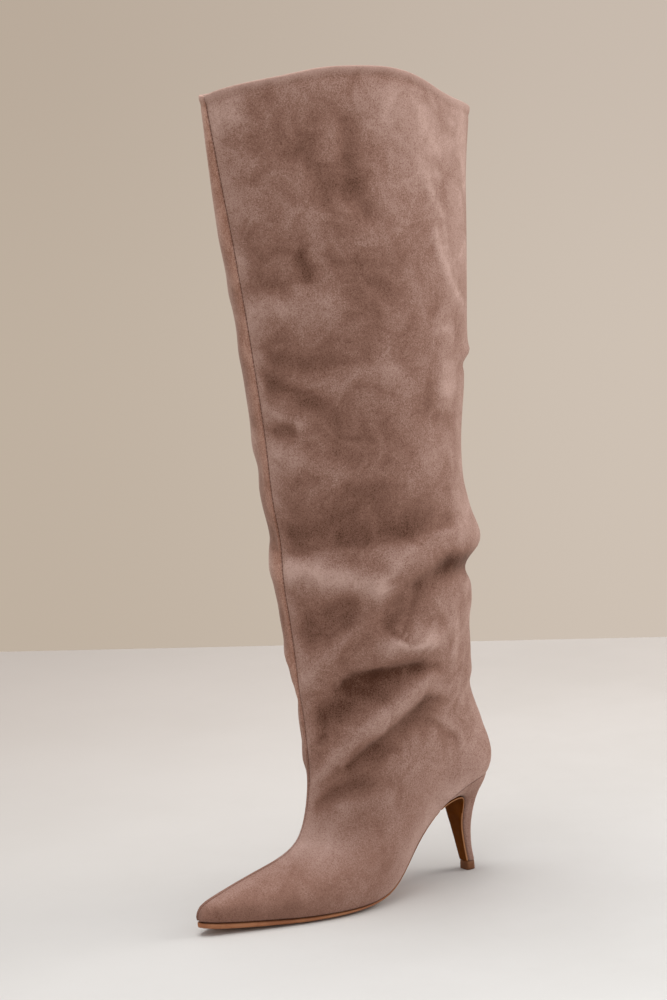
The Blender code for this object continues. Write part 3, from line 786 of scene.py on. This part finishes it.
def sculpt_upper(skin, shape):
    """Puts creases, seams and the collar's turned edge into the suede, and stores what its finish reads."""
    points = points_of(skin)
    normals = normals_of(skin)
    turn = turns_of(skin)
    relief, tone = creases(shape, turn, points[:, 2])
    front, front_along, front_away = nearest_on(shape.front, points)
    back, back_along, _ = nearest_on(shape.back, points)
    below, _, _ = nearest_on(edge_line(skin, True), points)
    over_feather, feather_along, _ = nearest_on(edge_line(skin, False), points)
    across = np.where(front_away[:, 0] >= 0, front, -front)
    off = {"front seam": across, "back seam": back, "collar": below, "feather edge": over_feather}
    relief = relief + seam_relief(off, front_along)
    move_points(skin, points + normals * relief[:, None])

    # Painted light and sheen towards the back of both sides, on top of the creases' painted light and shade.
    nap_and_painted_light = tone + BACK_PAINTED_LIGHT * bell(np.abs(turn - 180), BACK_PAINTED_LIGHT_OFF, BACK_PAINTED_LIGHT_HALF)
    # Painted light on the ridge beside the front seam, and a painted shadow under the collar's rolled edge.
    nap_and_painted_light += SEAM_PAINTED_LIGHT * bell(across, 5 * MM, 5 * MM) - 0.15 * bell(below, 6 * MM, 2 * MM)
    write(skin, "nap_and_painted_light", nap_and_painted_light + foot_shade(points, over_feather))
    seam = np.minimum(front, back)
    write(skin, "seam_across", np.minimum(seam, over_feather + 0.1 * MM))
    along = np.where(front < back, front_along, back_along)
    write(skin, "seam_along", np.where(over_feather < seam, feather_along, along))
    # Painted highlight along the collar's rolled edge and the ridge beside the front seam.
    wear_and_edge_highlight = bell(below, 0, EDGE_HIGHLIGHT_WIDTH * MM) + 0.15 * bell(across, 3.0 * MM, 1.6 * MM)
    write(skin, "edge_highlight", np.clip(wear_and_edge_highlight, 0, 1))
    strip = rise(-across, 0, STRIP_EDGE * MM) * bell(across, 0, STRIP_WIDTH * MM)
    write(skin, "strip", strip * rise(points[:, 2], STRIP_FOOT * MM, STRIP_RISE * MM))


def roll_edge(skin, top, rings):
    """Carries an open edge on through rings, each given as a way inward and a way on past the edge."""
    normals = normals_of(skin)
    shell = bmesh.new()
    shell.from_mesh(skin.data)
    home = {}
    for point in edge_ring(shell, top):
        before = next(edge.other_vert(point) for edge in point.link_edges if not edge.is_boundary)
        normal = normals[point.index]
        level = Vector((normal[0], normal[1], 0)).normalized()
        home[point] = (point.co.copy(), level, (point.co - before.co).normalized())
    edges = [e for e in shell.edges if e.is_boundary and all(v in home for v in e.verts)]
    for inward, past in rings:
        made = bmesh.ops.extrude_edge_only(shell, edges=edges)["geom"]
        edges = [g for g in made if isinstance(g, bmesh.types.BMEdge)]
        fresh = {g for g in made if isinstance(g, bmesh.types.BMVert)}
        homes = {}
        for vert in fresh:
            old = next(e.other_vert(vert) for e in vert.link_edges if e.other_vert(vert) in home)
            place, level, onward = home[old]
            vert.co = place - level * inward * MM + onward * past * MM
            homes[vert] = home[old]
        home = homes
    shell.to_mesh(skin.data)
    shell.free()
    skin.data.update()
    skin.data.shade_smooth()

def finish_piece(piece, slot, material, *nodes):
    """Gives a piece its finish, hangs it on the root body and hides the imported nodes it stands for."""
    piece.data.materials.clear()
    piece.data.materials.append(material)
    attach(piece, "root")
    if nodes:
        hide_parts(*nodes)


def make_upper(suede, lining):
    """The suede of foot and shaft, and the lining inside it."""
    solid = copied("upper", "upper_rims")
    outer = split_skin(solid, False, "upper_suede")
    inner = split_skin(solid, True, "upper_lining")
    bpy.data.objects.remove(solid)
    mark_turns(outer)
    mark_turns(inner)
    mark_seams(outer)
    subdivided(outer, SKIN_LEVELS)
    shape = Shape(outer)
    sculpt_upper(outer, shape)
    roll_edge(outer, True, COLLAR_RINGS)
    roll_edge(outer, False, FEATHER_RINGS)
    subdivided(inner, FIT_LEVELS)
    points = points_of(inner)
    relief, _ = creases(shape, turns_of(inner), points[:, 2])
    move_points(inner, points - normals_of(inner) * relief[:, None])
    finish_piece(outer, "suede", suede, "upper")
    finish_piece(inner, "lining", lining)


def crisp(piece, sharp, tight):
    """Subdivides a solid, and keeps edges sharper than that angle as tight as the share says."""
    alone(piece)
    bpy.ops.object.mode_set(mode="EDIT")
    bpy.ops.mesh.select_mode(type="EDGE")
    bpy.ops.mesh.select_all(action="DESELECT")
    bpy.ops.mesh.edges_select_sharp(sharpness=math.radians(sharp))
    bpy.ops.transform.edge_crease(value=tight)
    bpy.ops.object.mode_set(mode="OBJECT")
    subdivided(piece, FIRM_LEVELS)


def make_outsole(material):
    piece = copied("outsole", "outsole_tan")
    crisp(piece, sharp=40, tight=0.75)
    finish_piece(piece, "sole", material, "outsole")


def make_insole(material):
    piece = copied("insole", "insole_sock")
    crisp(piece, sharp=40, tight=0.6)
    finish_piece(piece, "lining", material, "insole")


def make_heel(material):
    piece = copied("heel", "heel_cover")
    crisp(piece, sharp=55, tight=0.8)
    finish_piece(piece, "suede", material, "heel")


def mark_cut_edge(piece):
    """Stores on each face whether it is on one of the piece's upright sides."""
    layer = piece.data.attributes.new("cut_edge", "FLOAT", "FACE")
    layer.data.foreach_set("value", [float(abs(face.normal.x) > UPRIGHT) for face in piece.data.polygons])


def make_breast(material):
    piece = copied("heel_breast", "heel_breast_cover")
    crisp(piece, sharp=40, tight=0.9)
    mark_cut_edge(piece)
    finish_piece(piece, "sole", material, "heel_breast")


def make_top_piece(material):
    piece = copied("top_piece", "heel_top_piece")
    crisp(piece, sharp=40, tight=0.8)
    finish_piece(piece, "top_piece", material, "top_piece")


# ---------------------------------------------------------------- stage
# Metres and degrees.
CAMERA_PLACE = (1.4641, -0.9991, 0.5429)
CAMERA_TURN = 54.8  # degrees, 0 looks along +Y
CAMERA_DOWN = 8.10
CAMERA_ROLL = -3.05
LENS = 93.1  # millimetres
BACKDROP_TURN = 45.87  # of the line where floor and backdrop meet
BACKDROP_AWAY = 0.9385
FLOOR_SIZE = 4.4
CAMERA_REACH = 50  # how far the camera sees
LAMP_AIM = (0, 0.05, 0.28)  # the middle of the shaft

Lamp = namedtuple("Lamp", "name place size power")
LAMPS = [
    Lamp("top_light", (-0.1, -0.15, 2.2), 1.2, 30),
    Lamp("front_light", (1.6, -1.9, 1.5), 2.0, 13),
    Lamp("side_light", (1.0, 2.2, 1.2), 1.5, 32),
]


def make_floor():
    """Square floor whose far edge is the line where it meets the backdrop."""
    turn = math.radians(BACKDROP_TURN)
    middle = Vector((-math.sin(turn), math.cos(turn), 0)) * (BACKDROP_AWAY - FLOOR_SIZE / 2)
    bpy.ops.object.select_all(action="DESELECT")
    bpy.ops.mesh.primitive_plane_add(size=FLOOR_SIZE, location=middle, rotation=(0, 0, turn))
    floor = bpy.context.active_object
    floor.name = "floor"
    bpy.ops.object.transform_apply(location=True, rotation=True, scale=True)
    floor.data.materials.append(floor_finish())


def make_dome():
    """Beige backdrop round the horizon, with painted light to the right and painted shade at its top, under a
    white dome.
    """
    world = bpy.data.worlds.new("backdrop")
    nodes = Nodes(world, "Background")
    way = nodes.place("Generated")
    up = nodes.height(way)
    side = nodes.reach(way, TO_THE_RIGHT)
    wall = nodes.mix(nodes.step(side, -0.16, 0.16), BACKDROP_DARK, BACKDROP_LIGHT)
    wall = nodes.mix(nodes.step(up, -0.1, 0.06), wall, BACKDROP_TOP, "MULTIPLY")
    nodes.set("Color", nodes.mix(nodes.step(up, 0.1, 0.4), wall, DOME_WHITE))
    bpy.context.scene.world = world


def make_lamp(lamp):
    """A square soft light that points at the middle of the shaft."""
    light = bpy.data.lights.new(lamp.name, "AREA")
    light.size = lamp.size
    light.energy = lamp.power
    holder = bpy.data.objects.new(lamp.name, light)
    bpy.context.scene.collection.objects.link(holder)
    holder.location = lamp.place
    aim = Vector(LAMP_AIM) - Vector(lamp.place)
    holder.rotation_euler = aim.to_track_quat("-Z", "Y").to_euler()


def make_camera():
    camera = bpy.data.objects.new("camera", bpy.data.cameras.new("camera"))
    bpy.context.scene.collection.objects.link(camera)
    camera.data.lens = LENS
    camera.data.clip_end = CAMERA_REACH
    turn = Matrix.Rotation(math.radians(CAMERA_TURN), 4, "Z")
    tilt = Matrix.Rotation(math.radians(90 - CAMERA_DOWN), 4, "X")
    roll = Matrix.Rotation(math.radians(CAMERA_ROLL), 4, "Z")
    camera.matrix_world = Matrix.Translation(CAMERA_PLACE) @ turn @ tilt @ roll
    bpy.context.scene.camera = camera


def make_stage():
    """Pale floor and backdrop, soft light from above, in front and beside, and the camera."""
    bpy.context.scene.view_settings.view_transform = "Standard"
    make_floor()
    make_dome()
    for lamp in LAMPS:
        make_lamp(lamp)
    make_camera()


def main():
    make_stage()
    suede = suede_finish("taupe_suede", seams=True)
    heel_suede = suede_finish("heel_suede", seams=False, lie=0.63)
    lining = lining_finish()
    tan = sole_finish("tan_sole", **TAN_LOOK)
    breast = sole_finish("breast_shaded_brown", **BREAST_SHADE_LOOK)
    wear_and_edge_highlight = sole_finish("top_piece_brown", **TOP_PIECE_LOOK)
    make_upper(suede, lining)
    make_outsole(tan)
    make_insole(lining)
    make_heel(heel_suede)
    make_breast(breast)
    make_top_piece(wear_and_edge_highlight)


main()
